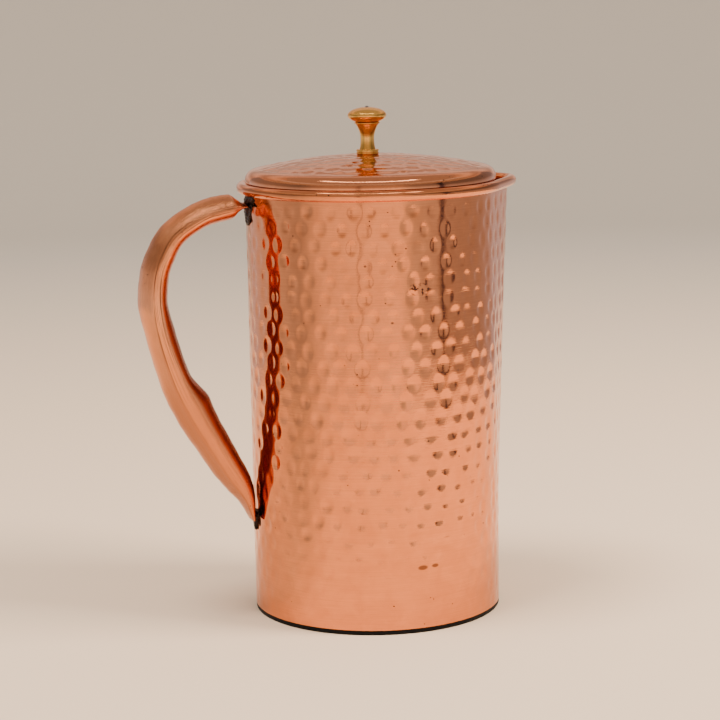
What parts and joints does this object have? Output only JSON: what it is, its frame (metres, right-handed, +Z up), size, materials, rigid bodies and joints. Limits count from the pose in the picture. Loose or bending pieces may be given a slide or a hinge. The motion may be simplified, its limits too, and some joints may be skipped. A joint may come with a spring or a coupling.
{
  "type": "copper water jug",
  "caption": "Hammered copper water jug with a rolled rim, a pulled pouring lip, a hollow folded handle and a loose domed lid with a turned brass knob.",
  "frame": {"origin": "on the wall's axis, in the plane of the foot ring's sole", "axes": "+Z up along the wall's axis, +X towards the pouring lip, -X towards the handle"},
  "size_m": [0.163, 0.1124, 0.2128],
  "materials": {
    "hammered_copper": "polished hammered copper",
    "lid_copper": "hammered copper, satin",
    "handle_copper": "smooth copper with scratches",
    "plain_copper": "plain copper",
    "burnt_braze": "dark brazed joint",
    "turned_brass": "polished turned brass",
    "washer_brass": "plain brass",
    "screw_steel": "dull steel",
    "rim_steel": "galvanised wire",
    "tin_solder": "dull tin",
    "black_rubber": "matt black"
  },
  "bodies": {
    "jug": {"body_wall": "hammered_copper", "rim_wire": "rim_steel", "base_pan": "plain_copper", "base_solder": "tin_solder", "foot_ring": "black_rubber", "handle_shell": "handle_copper", "handle_top_braze": "burnt_braze", "handle_low_braze": "burnt_braze"},
    "lid": {"lid_dome": "lid_copper", "lid_collar": "plain_copper", "lid_solder": "tin_solder", "knob": "turned_brass", "knob_screw": "screw_steel", "knob_washer": "washer_brass"}
  },
  "joints": [
    {"name": "lid_lift", "type": "slide", "parent": "jug", "child": "lid", "axis": [0, 0, 1], "range_m": [0, 0.1]}
  ]
}
